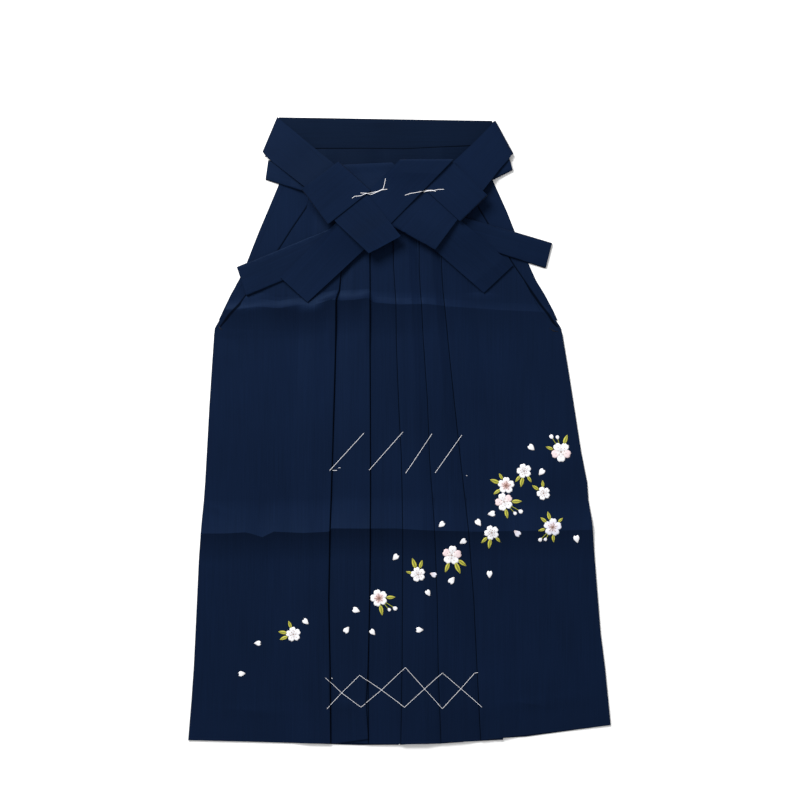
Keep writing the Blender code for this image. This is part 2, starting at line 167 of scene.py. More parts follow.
def navy_twill(name, turn=0.0, dark="#081225", light="#0B172E", shadow_lined=False, tilt=0.0):
    """Piece-dyed polyester twill, calendered to a soft sheen. The warp runs along y, turned by turn degrees.

    The eye sees a deep blue with faint streaks along the warp. Rims and sides are darkened in the colour as
    painted shade. Where asked, painted shadow lines darken the cloth along the lines from which it measures
    its attribute beside_line. With tilt, painted shade by lean makes cloth that faces the hem darker and
    cloth that
    faces the waist lighter: tilt says how much.
    """
    material = bpy.data.materials.new(name)
    material.use_nodes = True
    tree = material.node_tree
    tree.nodes.clear()
    place = add_node(tree, "ShaderNodeTexCoord")
    along = add_node(
        tree,
        "ShaderNodeMapping",
        {"Rotation": (0.0, 0.0, -math.radians(turn))},
        {"Vector": place.outputs["Object"]},
    )
    # Warp threads lie 0.15 mm apart, so groups of them are drawn, 1.6 mm wide and 90 mm long
    streak_place = add_node(
        tree, "ShaderNodeMapping", {"Scale": (620.0, 11.0, 60.0)}, {"Vector": along.outputs["Vector"]}
    )
    streaks = add_node(
        tree,
        "ShaderNodeTexNoise",
        {"Scale": 1.0, "Detail": 3.0, "Roughness": 0.6},
        {"Vector": streak_place.outputs["Vector"]},
    )
    # The twill line has a real pitch of 0.5 mm and is drawn at 1.1 mm
    twill = add_node(
        tree,
        "ShaderNodeTexWave",
        {"Scale": 400.0, "Distortion": 1.2, "Detail": 1.0, "Detail Scale": 2.0},
        {"Vector": along.outputs["Vector"]},
        wave_type="BANDS",
        bands_direction="DIAGONAL",
    )
    # The dye took unevenly, in soft clouds about 140 mm across
    clouds = add_node(
        tree,
        "ShaderNodeTexNoise",
        {"Scale": 7.0, "Detail": 2.0, "Roughness": 0.5},
        {"Vector": along.outputs["Vector"]},
    )
    tone = add_node(
        tree,
        "ShaderNodeMath",
        {1: 0.55},
        {0: streaks.outputs["Fac"]},
        operation="MULTIPLY",
    )
    tone_all = add_node(
        tree,
        "ShaderNodeMath",
        {1: 0.45},
        {0: clouds.outputs["Fac"], 2: tone.outputs["Value"]},
        operation="MULTIPLY_ADD",
    )
    spread = add_node(
        tree,
        "ShaderNodeMapRange",
        {"From Min": 0.3, "From Max": 0.7},
        {"Value": tone_all.outputs["Value"]},
    )
    colour = add_node(
        tree,
        "ShaderNodeMix",
        {"A": linear(dark), "B": linear(light)},
        {"Factor": spread.outputs["Result"]},
        data_type="RGBA",
    )
    # Painted shade: rims and sides don't face upwards, so their colour is darkened
    facing = add_node(tree, "ShaderNodeNewGeometry")
    parts = add_node(tree, "ShaderNodeSeparateXYZ", links={"Vector": facing.outputs["Normal"]})
    level = add_node(tree, "ShaderNodeMath", links={0: parts.outputs["Z"]}, operation="ABSOLUTE")
    shade = add_node(
        tree,
        "ShaderNodeMapRange",
        {"From Min": 0.3, "From Max": 0.85, "To Min": 0.25, "To Max": 1.0},
        {"Value": level.outputs["Value"]},
    )
    # Painted shadow: the colour darkens along the lines measured in beside_line, beside the pleats' folds,
    # the front panel's opening edges and the front band's top edge
    if shadow_lined:
        measured = add_node(tree, "ShaderNodeAttribute", attribute_name="beside_line")
        away = add_node(tree, "ShaderNodeMath", links={0: measured.outputs["Fac"]}, operation="ABSOLUTE")
        line = add_node(
            tree,
            "ShaderNodeMapRange",
            {"From Min": 0.5, "From Max": 1.5, "To Min": 0.2, "To Max": 1.0},
            {"Value": away.outputs["Value"]},
            interpolation_type="SMOOTHSTEP",
        )
        shade = add_node(
            tree,
            "ShaderNodeMath",
            links={0: shade.outputs["Result"], 1: line.outputs["Result"]},
            operation="MULTIPLY",
        )
    # Painted shade and painted light by lean: the colour darkens where the cloth faces the hem and lightens
    # where it faces the waist
    if tilt:
        lean_shade = add_node(
            tree,
            "ShaderNodeMapRange",
            {"From Min": -0.3, "From Max": 0.09, "To Min": 1 - 0.4 * tilt, "To Max": 1 + 0.12 * tilt},
            {"Value": parts.outputs["Y"]},
        )
        shade = add_node(
            tree,
            "ShaderNodeMath",
            links={0: shade.outputs[0], 1: lean_shade.outputs["Result"]},
            operation="MULTIPLY",
        )
    colour = add_node(
        tree,
        "ShaderNodeMix",
        {"Factor": 1.0},
        {"A": colour.outputs["Result"], "B": shade.outputs[0]},
        data_type="RGBA",
        blend_type="MULTIPLY",
    )
    # Where shade is painted into the colour, the cloth is matt too
    gloss = add_node(
        tree,
        "ShaderNodeMapRange",
        {"From Min": 0.2, "From Max": 1.0, "To Min": 0.9, "To Max": 0.5},
        {"Value": shade.outputs[0]},
    )
    weave = add_node(
        tree,
        "ShaderNodeMath",
        {1: 0.35},
        {0: twill.outputs["Fac"], 2: streaks.outputs["Fac"]},
        operation="MULTIPLY_ADD",
    )
    relief = add_node(
        tree,
        "ShaderNodeBump",
        {"Strength": 0.35, "Distance": 0.0002},
        {"Height": weave.outputs["Value"]},
    )
    shader = add_node(
        tree,
        "ShaderNodeBsdfPrincipled",
        {
            "Specular IOR Level": 0.16,
            "Specular Tint": linear("#5F80B0"),
            "Sheen Weight": 0.02,
            "Sheen Roughness": 0.35,
            "Sheen Tint": linear("#6F8BC8"),
        },
        {
            "Base Color": colour.outputs["Result"],
            "Roughness": gloss.outputs["Result"],
            "Normal": relief.outputs["Normal"],
        },
    )
    add_node(tree, "ShaderNodeOutputMaterial", links={"Surface": shader.outputs["BSDF"]})
    return material


def smooth_step(value):
    """0 up to 0, 1 from 1 on, and an even curve between them."""
    value = min(max(value, 0.0), 1.0)
    return value * value * (3 - 2 * value)


def cloth_of(node):
    """A merged copy of a solid's mesh, with its triangles joined back into four-sided faces."""
    bm = bmesh.new()
    bm.from_mesh(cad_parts[node].data)
    bmesh.ops.remove_doubles(bm, verts=bm.verts, dist=TOUCHING)
    bmesh.ops.join_triangles(
        bm,
        faces=bm.faces,
        angle_face_threshold=math.radians(20),
        angle_shape_threshold=math.radians(180),
    )
    return bm


def cut_across(bm, axis, places):
    """Cut all the faces by planes square to an axis, so that the cloth can bend there."""
    normal = Vector((axis == "x", axis == "y", 0.0))
    for place in places:
        bmesh.ops.bisect_plane(
            bm,
            geom=[*bm.verts, *bm.edges, *bm.faces],
            dist=CUT_SLACK,
            plane_co=normal * place * MM,
            plane_no=normal,
        )


def crease_places(low, high):
    """Places along y for cuts: close together at the storage creases, wider apart elsewhere."""
    places = [crest for _, crest, _, _ in STORAGE_CREASES]
    y = low
    while y < high:
        near = any(-down < y - crest < up for _, crest, (up, down), _ in STORAGE_CREASES)
        y += CREASE_GRAIN if near else GRAIN
        places.append(y)
    return places


def crease_lift(x, y):
    """Height of both storage creases at x, y. Each comes to a pressed edge at its crest."""
    total = 0.0
    for table, _, reach, power in STORAGE_CREASES:
        crest = np.interp(x, table[0], table[1])
        side = 0 if y > crest else 1
        share = max(0.0, 1 - abs(y - crest) / reach[side]) ** power[side]
        total += np.interp(x, table[0], table[2]) * share
    return total


def crest_shift(x, y):
    """How far a point shifts along y, so that one row of the cloth's points follows each crest."""
    total = 0.0
    for table, row, _, _ in STORAGE_CREASES:
        shift = np.interp(x, table[0], table[1]) - row
        total += shift * smooth_step(1 - abs(y - row) / CREST_SHIFT_REACH)
    return total


# Where ties lie on the panels the cloth keeps the height of the solids. The map says how free each place is.
MAP_STEP = 8.0
MAP_CORNER = (-340.0, -500.0)
MAP_SIZE = (86, 130)
LAID_ON_TOP = [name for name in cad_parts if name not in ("front_panel", "back_panel", "back_waistband")]
ABOVE_ALL = 200.0  # height from which the map and the threads look down on the garment
DOWN = Vector((0.0, 0.0, -1.0))


def tree_of(mesh):
    """A tree of the mesh's faces, which finds where a line from above meets them."""
    return BVHTree.FromPolygons([v.co for v in mesh.vertices], [tuple(p.vertices) for p in mesh.polygons])


above = [tree_of(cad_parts[name].data) for name in LAID_ON_TOP]
free = np.ones(MAP_SIZE)
for column in range(MAP_SIZE[0]):
    for row in range(MAP_SIZE[1]):
        x, y = MAP_CORNER[0] + column * MAP_STEP, MAP_CORNER[1] + row * MAP_STEP
        if any(tree.ray_cast(Vector((x, y, ABOVE_ALL)) * MM, DOWN)[0] for tree in above):
            free[column, row] = 0.0
freed = free.copy()
for shift_x in (-1, 0, 1):
    for shift_y in (-1, 0, 1):
        freed = np.minimum(freed, np.roll(free, (shift_x, shift_y), (0, 1)))
for _ in range(2):
    neighbours = sum(np.roll(freed, shift, axis) for shift in (-1, 1) for axis in (0, 1))
    freed = np.minimum(freed, (freed + neighbours) / 5)


def freedom(x, y):
    """0 where a tie lies on the cloth, up to 1 where nothing does."""
    column = min(max((x - MAP_CORNER[0]) / MAP_STEP, 0.0), MAP_SIZE[0] - 2.0)
    row = min(max((y - MAP_CORNER[1]) / MAP_STEP, 0.0), MAP_SIZE[1] - 2.0)
    i, j = int(column), int(row)
    a, b = column - i, row - j
    near = (1 - b) * freed[i, j] + b * freed[i, j + 1]
    far = (1 - b) * freed[i + 1, j] + b * freed[i + 1, j + 1]
    return (1 - a) * near + a * far


dressed = {}  # every finished piece's name and its tree
SHARP_FROM = math.radians(50)


def show(bm, name, material, replaced=()):
    """Make the piece's object, riding on the garment, and keep a tree of it for what is laid on it."""
    mesh = bpy.data.meshes.new(name)
    bm.to_mesh(mesh)
    bm.free()
    mesh.shade_smooth()
    mesh.set_sharp_from_angle(angle=SHARP_FROM)
    mesh.materials.append(material)
    piece = bpy.data.objects.new(name, mesh)
    bpy.context.scene.collection.objects.link(piece)
    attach(piece, "root")
    if replaced:
        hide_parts(*replaced)
        piece.modifiers.new("even_shading", "WEIGHTED_NORMAL").keep_sharp = True
    dressed[name] = tree_of(mesh)
    return piece


FAR_AWAY = -1000.0


def front_edges(y):
    """Where the front panel's edges cross the back panel at y. Below the openings there are none near."""
    rows = np.array(sorted(FRONT_OPENING_EDGES), float)
    if y < rows[0, 0]:
        return [FAR_AWAY]
    return [np.interp(y, rows[:, 0], column) for column in rows[:, 1:].T]


def measure_shadow_lines(bm, lines_at, widths, across=0):
    """Note at every point how many widths it lies from the nearest painted shadow line.

    The lines run along y, or along x where across is 1. The sign changes at each line.
    """
    measured = bm.verts.layers.float.new("beside_line")
    for vert in bm.verts:
        place = vert.co[across] / MM
        lines = lines_at(vert.co[1 - across] / MM)
        side = -1 if sum(place > line for line in lines) % 2 else 1
        away, width = min((abs(place - line), width) for line, width in zip(lines, widths))
        vert[measured] = side * away / width


# The panels get painted shadow lines, and painted shade and light by lean
panel_cloth = navy_twill("panel_twill", shadow_lined=True, tilt=1.0)

back = cloth_of("back_panel")
cut_across(back, "x", np.arange(*SIDE_LIMITS, 2 * GRAIN))
cut_across(back, "y", crease_places(PANEL_BOTTOM, BACK_TOP))
for vert in back.verts:
    x, y = vert.co.x / MM, vert.co.y / MM
    share = freedom(x, y)
    y += crest_shift(x, y) * share
    vert.co.y = y * MM
    vert.co.z += BACK_SHARE * crease_lift(x, y) * share * MM
measure_shadow_lines(back, front_edges, OPENING_SHADOW_LINES)
back_panel = show(back, "back_panel_cloth", panel_cloth, ["back_panel"])

TURNED_IN = 8.5
TURNED_IN_WALL = 0.2
SET_IN = 0.4  # how far the turned-in strip starts inside the panel's edge
LAID_OVER = 0.03  # gap between the strip and the panel


def turned_in_edge(side):
    """The strip of cloth turned in along a side opening: side is 1 for the left one, 2 for the right one."""
    bm = bmesh.new()
    bmesh.ops.create_grid(bm, x_segments=1, y_segments=len(BACK_OPENING_EDGES) - 1, size=1.0)
    rows = sorted(BACK_OPENING_EDGES)
    grid = sorted(bm.verts, key=lambda v: (round(v.co.y, 5), round(v.co.x, 5)))
    inwards = 1 if side == 1 else -1
    for i, vert in enumerate(grid):
        row = rows[i // 2]
        inside = (i % 2 == 1) == (side == 1)
        x = row[side] + inwards * (TURNED_IN if inside else SET_IN)
        vert.co = Vector((x, row[0], PANEL_WALL + LAID_OVER)) * MM
    bmesh.ops.recalc_face_normals(bm, faces=bm.faces)
    if bm.faces[:][0].normal.z < 0:
        bmesh.ops.reverse_faces(bm, faces=bm.faces)
    raised = bmesh.ops.extrude_face_region(bm, geom=bm.faces[:])
    for item in raised["geom"]:
        if isinstance(item, bmesh.types.BMVert):
            item.co.z += TURNED_IN_WALL * MM
    bmesh.ops.recalc_face_normals(bm, faces=bm.faces)
    return bm


strip_cloth = navy_twill("turned_in_twill")
turned_in = [
    show(turned_in_edge(side), name, strip_cloth)
    for side, name in ((1, "turned_in_edge_left"), (2, "turned_in_edge_right"))
]

# Front panel. A sheet of the same twill, pressed into five knife pleats: two fold one way and three the
# other. The creases lift the pleats' noses, most at the first two, which stand open below the ties.
LAYER_STEP = 1.3
FRONT_TOP = 212.0  # y of the highest cut, the ties hiding what lies above it
PLEATED = (-128, 140)  # x between which the pleats lie
PLEAT_CUTS = (-126.0, 140.0, 5.0)

# The storage creases as the solids hold them: y of the crest, height, reach up, reach down
SOLID_CREASES = ((196, 3.6, 20.0, 44.0), (-155, 3.0, 18.0, 42.0))
SOLID_ROWS = (-200, -183, -168, -155, -146, -137, 152, 159.5, 168, 183, 196, 206, 216)

# Small puckers, one row each: x, y of its middle, direction in degrees, length, half width, height
PUCKERS = (
    (-283, -121, -38, 46, 5.0, 1.0),
    (-286, -218, -24, 46, 5.0, 0.9),
    (-262, 120, -62, 60, 9.0, 0.8),
    (-150, 60, 84, 210, 16.0, 0.7),
    (-222, -60, 88, 190, 15.0, 0.6),
    (-178, -330, 86, 210, 14.0, 0.8),
    (-262, -395, 90, 130, 12.0, 0.6),
    (170, 40, 93, 260, 10.0, 0.9),
    (226, -60, 95, 230, 9.0, 0.9),
    (168, -300, 91, 240, 11.0, 0.8),
    (262, -300, 93, 230, 10.0, 0.9),
    (226, -400, 89, 120, 9.0, 0.7),
    (283, 60, 101, 120, 8.0, 0.6),
    (22, 20, 89, 200, 9.0, 0.6),
    (-20, -330, 90, 190, 9.0, 0.6),
    (84, -300, 91, 180, 8.0, 0.6),
    (-215, -434, -1, 210, 10.0, 0.6),
    (-78, -425, 1, 60, 9.0, 1.0),
    (215, -420, 6, 240, 10.0, 0.6),
)
# The pleats' folds: y, then the x of the five folds from left to right
FOLDS = (
    (242, -90.0, -45.5, -9.0, 30.5, 65.0),
    (216, -93.0, -45.3, -6.5, 32.5, 67.5),
    (199, -98.0, -45.5, -5.4, 34.0, 69.5),
    (135, -98.5, -45.5, -4.7, 37.3, 75.7),
    (48, -101.0, -45.0, -1.5, 43.4, 84.6),
    (-38, -103.5, -44.8, 3.0, 46.5, 94.0),
    (-158, -107.4, -45.0, 5.2, 54.7, 107.4),
    (-262, -109.4, -46.0, 4.8, 58.6, 115.2),
    (-364, -107.4, -48.4, 4.2, 60.0, 120.0),
    (-476, -106.2, -47.9, 2.3, 64.2, 125.7),
)
LEFT_FOLDS = 2  # at the first two folds the upper layer lies to the left, at the others to the right
# Where the noses of the pleats lift: fold, y of the middle, half length, height
NOSE_LIFTS = (
    (0, 172, 44, 2.6),
    (1, 170, 42, 2.2),
    (2, 180, 30, 0.8),
    (3, 182, 28, 0.6),
    (4, 176, 30, 0.7),
    (0, -120, 60, 0.8),
    (1, -190, 60, 0.9),
    (0, -420, 70, 1.0),
    (1, -400, 90, 0.7),
    (2, -430, 60, 0.7),
    (3, -410, 80, 0.8),
    (4, -430, 60, 0.9),
    (0, 60, 60, 0.6),
    (4, 40, 80, 0.5),
)
NOSE_WIDTH = 17.0
NOSE_FULL = 1.15  # above 1, so the lift stays full near the middle of its length
FOLD_SHADOW_LINES = (1.1, 0.85, 0.6, 0.55, 0.6)  # width of the painted shadow line at each fold
FRONT_HEIGHT = 2.8  # top of the front's lowest layer beside the back pleat
# The front lies fully on the back pleat this near to the middle, and beside it this far from the middle
PLEAT_RISE_FULL = 52.0
PLEAT_RISE_END = 86.0
HALF_LAYER = 0.5


def solid_height(y):
    """Height of the storage creases at one of the solids' rows."""
    total = 0.0
    for crest, height, reach_up, reach_down in SOLID_CREASES:
        total += height * smooth_step(1 - abs(y - crest) / (reach_up if y > crest else reach_down))
    return total


SOLID_HEIGHTS = [solid_height(y) for y in SOLID_ROWS]


def solid_lift(y):
    """Height that the storage creases have in the solids, which are straight between their rows of points."""
    return np.interp(y, SOLID_ROWS, SOLID_HEIGHTS)


def cloth_lift(x, y):
    """Height of both storage creases and of the small puckers at x, y."""
    total = crease_lift(x, y)
    for px, py, turn, length, half_width, height in PUCKERS:
        away_x, away_y = x - px, y - py
        if abs(away_x) < length and abs(away_y) < length:
            turned = math.radians(turn)
            along = away_x * math.cos(turned) + away_y * math.sin(turned)
            beside = away_y * math.cos(turned) - away_x * math.sin(turned)
            lengthways = smooth_step(1 - abs(along) / (length / 2))
            total += height * lengthways * smooth_step(1 - abs(beside) / half_width)
    return total


def fold_places(y):
    """The x of the five pleats' folds at y."""
    rows = np.array(sorted(FOLDS), float)
    return [np.interp(y, rows[:, 0], column) for column in rows[:, 1:].T]


def front_base(x):
    """Height of the middle of the lowest front layer, which rises over the back pleat."""
    rise = smooth_step((PLEAT_RISE_END - abs(x)) / (PLEAT_RISE_END - PLEAT_RISE_FULL))
    return FRONT_HEIGHT - HALF_LAYER * PANEL_WALL + 2 * LAYER_STEP * rise


def nose_lift(x, y, places):
    """How far the upper layers of a pleat stand up beside its fold at x, y."""
    most = 0.0
    for i, middle, half, height in NOSE_LIFTS:
        inside = (places[i] - x) if i < LEFT_FOLDS else (x - places[i])
        if -1.0 < inside < NOSE_WIDTH:
            share = smooth_step(1 - max(inside, 0.0) / NOSE_WIDTH)
            share *= smooth_step(NOSE_FULL - abs(y - middle) / half)
            most = max(most, height * share)
    return most


front = cloth_of("front_panel")
plain_cuts = [x for x in np.arange(*SIDE_LIMITS, GRAIN) if not PLEATED[0] < x < PLEATED[1]]
cut_across(front, "x", plain_cuts)
cut_across(front, "x", np.arange(*PLEAT_CUTS))
cut_across(front, "y", crease_places(PANEL_BOTTOM, FRONT_TOP))
for vert in front.verts:
    x, y = vert.co.x / MM, vert.co.y / MM
    share = freedom(x, y)
    in_solid = solid_lift(y)
    level = (vert.co.z / MM - front_base(x) - in_solid) / LAYER_STEP
    y += crest_shift(x, y) * share
    lift = (cloth_lift(x, y) - in_solid) * share
    if level > HALF_LAYER:
        lift += nose_lift(x, y, fold_places(y)) * share
    vert.co.y = y * MM
    vert.co.z += lift * MM
measure_shadow_lines(front, fold_places, FOLD_SHADOW_LINES)
front_panel = show(front, "front_panel_cloth", panel_cloth, ["front_panel"])

# Waistbands. The back band is a stiffened band of the same cloth, 6 cm wide, and its ends run on as the back
# ties. The front band is a soft fold of cloth over the tops of the front pleats.
RIM = 0.7
RIM_ANGLE = math.radians(60)
BAND_LIMITS = (100.0, 490.0)  # y between which bands and ties lie
WAVE_LENGTH = 38.0
WAVE_HEIGHT = 0.2
UNDERSIDE = -0.2  # a face whose normal has a lower z than this looks down
FRONT_BAND_TOP = ((-135.0, 437.4), (-60.0, 437.4), (8.0, 436.7), (115.6, 442.1))  # x, y
BAND_SHADOW_LINE = 1.5  # width of the painted shadow line along it


def soft_band(node, rim=RIM):
    """A band of the solid's form with rounded rims and a top that isn't quite even."""
    bm = cloth_of(node)
    if rim:
        sharp = [e for e in bm.edges if len(e.link_faces) == 2 and e.calc_face_angle() > RIM_ANGLE]
        bmesh.ops.bevel(
            bm,
            geom=sharp,
            offset=rim * MM,
            offset_type="OFFSET",
            segments=2,
            profile=0.5,
            affect="EDGES",
            material=-1,
            clamp_overlap=True,
        )
    cut_across(bm, "x", np.arange(*SIDE_LIMITS, GRAIN))
    cut_across(bm, "y", np.arange(*BAND_LIMITS, GRAIN))
    for vert in bm.verts:
        if all(face.normal.z > UNDERSIDE for face in vert.link_faces):
            vert.co.z += WAVE_HEIGHT * MM * noise.noise(vert.co / (WAVE_LENGTH * MM))
    return bm


def front_band_top(x):
    """Where the front band's upper edge crosses the back band at x."""
    return [np.interp(x, *np.array(FRONT_BAND_TOP, float).T)]


back_band = soft_band("back_waistband")
measure_shadow_lines(back_band, front_band_top, [BAND_SHADOW_LINE], across=1)
# The back band gets a painted shadow line beside the front band's top edge
shadow_lined_band_cloth = navy_twill("back_waistband_twill", 90.0, "#060D1C", "#081224", shadow_lined=True)
back_waistband = show(back_band, "back_waistband_cloth", shadow_lined_band_cloth, ["back_waistband"])

band_cloth = navy_twill("front_waistband_twill", 90.0, "#060D1C", "#081224")
front_waistband = show(
    soft_band("front_waistband"), "front_waistband_cloth", band_cloth, ["front_waistband"]
)

# Front ties. Each is a tube of twill 3 to 4 cm wide and nearly 2 m long. It is folded up on itself into a
# flat bundle and laid across the panels, so the edges of its layers show along both sides.
for node, turn, width, length in (  # turn of the warp in degrees, width and length of the bundle in metres
    ("front_tie_left", 73.0, 0.036, 0.457),
    ("front_tie_right", 115.0, 0.044, 0.456),
):
    cloth = navy_twill(node + "_twill", turn)
    tie = show(soft_band(node, rim=0.0), node + "_cloth", cloth, [node])

for node, turn, length, under in (  # turn of the warp in degrees, length in metres, piece it lies on
    ("back_tie_left_end", 49.5, 0.3, "front_tie_left_cloth"),
    ("back_tie_right_over", -42.0, 0.262, "back_tie_left_end_cloth"),
    ("back_tie_right_loop", 47.0, 0.075, "back_tie_right_over_cloth"),
    ("back_tie_right_end", -43.0, 0.308, "front_tie_right_cloth"),
    ("back_tie_left_over", 47.0, 0.263, "back_tie_right_end_cloth"),
    ("back_tie_left_loop", -50.0, 0.085, "back_tie_left_over_cloth"),
):
    # Painted shade and light by lean, reversed and doubled on the stretch of the left tie over the waist: its
    # colour darkens where it faces the waist and the light, and lightens where it faces the hem
    cloth = navy_twill(node + "_twill", turn, tilt=-2.0 if node == "back_tie_left_over" else 0.0)
    tie = show(soft_band(node), node + "_cloth", cloth, [node])

# Bar tacks. A half moon of navy thread, sewn over and over, stops the seam from tearing at the foot of each
# side opening.
PIXEL = VIEW_WIDTH / 800


def seen(px, py, height=0.0):
    """The place under a pixel of the 800 x 800 frame, at this height, in millimetres."""
    pixel = PIXEL * (1 - height / CAMERA_HEIGHT)
    return VIEW_CENTRE[0] + (px - 400) * pixel, VIEW_CENTRE[1] + (400 - py) * pixel


def height_at(x, y, trees):
    """Top of the cloth at this place, in millimetres."""
    hits = [tree.ray_cast(Vector((x, y, ABOVE_ALL)) * MM, DOWN)[0] for tree in trees]
    return max([hit.z / MM for hit in hits if hit], default=0.0)


def laid_points(corners, trees, radius, step=2.5):
    """Points of a thread pulled taut over the cloth through these corners."""
    points = []
    for (ax, ay), (bx, by) in zip(corners, corners[1:]):
        count = max(1, round(math.hypot(bx - ax, by - ay) / step))
        points += [(ax + (bx - ax) * i / count, ay + (by - ay) * i / count) for i in range(count)]
    points.append(corners[-1])
    heights = [height_at(x, y, trees) + radius for x, y in points]
    for _ in range(3):
        heights[1:-1] = [max(h, (a + b) / 2) for h, a, b in zip(heights[1:-1], heights, heights[2:])]
    return [Vector((x, y, z)) * MM for (x, y), z in zip(points, heights)]


def sewn_threads(name, runs, thickness, material, trees):
    """Threads that each run over the cloth through their own corners, as one piece."""
    curve = bpy.data.curves.new(name, "CURVE")
    curve.dimensions = "3D"
    curve.bevel_depth = thickness / 2 * MM
    curve.bevel_resolution = 1
    curve.use_fill_caps = True
    for corners in runs:
        points = laid_points(corners, trees, thickness / 2)
        spline = curve.splines.new("POLY")
        spline.points.add(len(points) - 1)
        for target, point in zip(spline.points, points):
            target.co = (*point, 1.0)
    bent = bpy.data.objects.new(name, curve)
    bm = bmesh.new()
    bm.from_mesh(bpy.data.meshes.new_from_object(bent))
    bmesh.ops.remove_doubles(bm, verts=bm.verts, dist=TOUCHING)
    bmesh.ops.recalc_face_normals(bm, faces=bm.faces)
    bpy.data.objects.remove(bent)
    return show(bm, name, material)


def spun_thread(name, colour, roughness=0.7):
    """Twisted thread of polyester, cotton or rayon: matt, with the slight unevenness of its twist."""
    material = bpy.data.materials.new(name)
    material.use_nodes = True
    tree = material.node_tree
    shader = tree.nodes["Principled BSDF"]
    shader.inputs["Roughness"].default_value = roughness
    shader.inputs["Specular IOR Level"].default_value = 0.2
    place = add_node(tree, "ShaderNodeTexCoord")
    # The twist has a real pitch of about 0.8 mm and is drawn at 1.1 mm
    twist = add_node(
        tree,
        "ShaderNodeTexWave",
        {"Scale": 390.0, "Distortion": 0.8},
        {"Vector": place.outputs["Object"]},
        bands_direction="DIAGONAL",
    )
    relief = add_node(
        tree, "ShaderNodeBump", {"Strength": 0.5, "Distance": 0.0001}, {"Height": twist.outputs["Fac"]}
    )
    # Painted shade: the colour is darker in the grooves of the twist
    shaded = add_node(
        tree,
        "ShaderNodeMix",
        {"A": tuple(0.8 * c for c in linear(colour)[:3]) + (1.0,), "B": linear(colour)},
        {"Factor": twist.outputs["Fac"]},
        data_type="RGBA",
    )
    tree.links.new(shaded.outputs["Result"], shader.inputs["Base Color"])
    tree.links.new(relief.outputs["Normal"], shader.inputs["Normal"])
    return material


TACK_THREAD = 0.6
TACK_ROWS = 5
ROW_STEP = 0.2
ROW_LEAN = 0.4  # how far a row's middle moves along x, as a share of its bow along y
navy_thread = spun_thread("navy_sewing_thread", "#050A16")
for name, start, end, bulge in (
    ("bar_tack_left", (218.6, 325.6), (222.4, 330.0), -1.6),
    ("bar_tack_right", (549.6, 328.6), (557.6, 331.8), -1.8),
):
    (ax, ay), (bx, by) = seen(*start), seen(*end)
    rows = []
    for i in range(TACK_ROWS):
        bow = bulge * (i + 1) / TACK_ROWS
        middle = ((ax + bx) / 2 + bow * ROW_LEAN, (ay + by) / 2 + bow)
        rows.append([(ax, ay + ROW_STEP * i), middle, (bx, by + ROW_STEP * i)])
    sewn_threads(name, rows, TACK_THREAD, navy_thread, list(dressed.values()))

# Basting. Loose white cotton stitches that hold the ties and pleats until the garment is first worn: two
# tacks through the ties, four long slanting stitches over the pleats, and a double zigzag above the hem.
# Each run of thread is given by the pixels of its corners.
WAIST_TACKS = (
    ((352.2, 198.8), (355, 197), (361, 196.4), (365.3, 194.4), (377.6, 191.8), (383.2, 189.3), (384.7, 183.7),
     (385.5, 178.9)),
    ((360.7, 193.6), (366.3, 193.9), (371.4, 194.9), (381.6, 190.3), (387.2, 189.6)),
    ((405, 195.6), (410, 193.9), (419.4, 192.3), (426, 190.8), (431.6, 190.3), (435.7, 191.6)),
    ((423.5, 192.2), (427.4, 191.2), (431.8, 191.0), (437.8, 189.8), (443.9, 189.5)),
)
SLANTING_STITCHES = (
    ((363.9, 433.1), (329.7, 470.5)),
    ((402.9, 432), (369.3, 470)),
    ((432, 433.8), (405.7, 473.1)),
    ((461.8, 435.1), (435.1, 472.9)),
    ((332.5, 470.5), (337, 470.5)),
    ((338.3, 467.9), (340.4, 467.7)),
    ((466.2, 475.4), (467.2, 475.8)),
)
HEM_ZIGZAGS = (
    ((325.5, 677.8), (341.7, 693), (361, 707), (381.5, 690), (405.4, 667.3), (424.5, 688.7), (442.3, 708.5),
     (460.9, 688.7), (474.6, 673.3), (477.8, 672.5)),
    ((327, 708.7), (341.7, 693), (359.7, 675), (381.5, 690), (404.5, 707), (424.5, 688.7), (442.3, 672.7),
     (460.9, 688.7), (481.8, 707)),
    ((331, 678.2), (332.6, 678.8)),
)
white_cotton = spun_thread("white_basting_cotton", "#F8F8FC")
for name, runs, thickness, height in (  # thickness of the thread, height of the cloth under it
    ("waist_tacks", WAIST_TACKS, 0.7, 20.0),
    ("slanting_stitches", SLANTING_STITCHES, 0.58, 5.0),
    ("hem_zigzags", HEM_ZIGZAGS, 0.55, 5.0),
):
    places = [[seen(*corner, height) for corner in run] for run in runs]
    sewn_threads(name, places, thickness, white_cotton, list(dressed.values()))

# Embroidery. Cherry blossoms, buds, leaves and falling petals, machine-sewn in satin stitch with rayon
# thread. They drift up the front from the left of the hem to the right side.
FACES_ACROSS = 8
FACES_ALONG = 6
# Petals of blossoms, falling petals and buds: half their fan in radians, how narrow the rim is, the notch's
# depth as a share of their length
BLOSSOM_PETAL = (0.79, 0.36, 0.09)
FALLING_PETAL = (0.74, 0.45, 0.17)
BUD = (0.95, 0.62, 0.06)
PETAL_TILT = 0.16  # how far one side of a blossom's petal stands over the next
PINK_PETALS = (1, 4)  # the petals of a pink blossom that are pink, the others being white
PILE = 0.75  # how high the middle of a satin-stitched form stands
EMBROIDERY_WALL = 0.25
OFF_CLOTH = 0.05

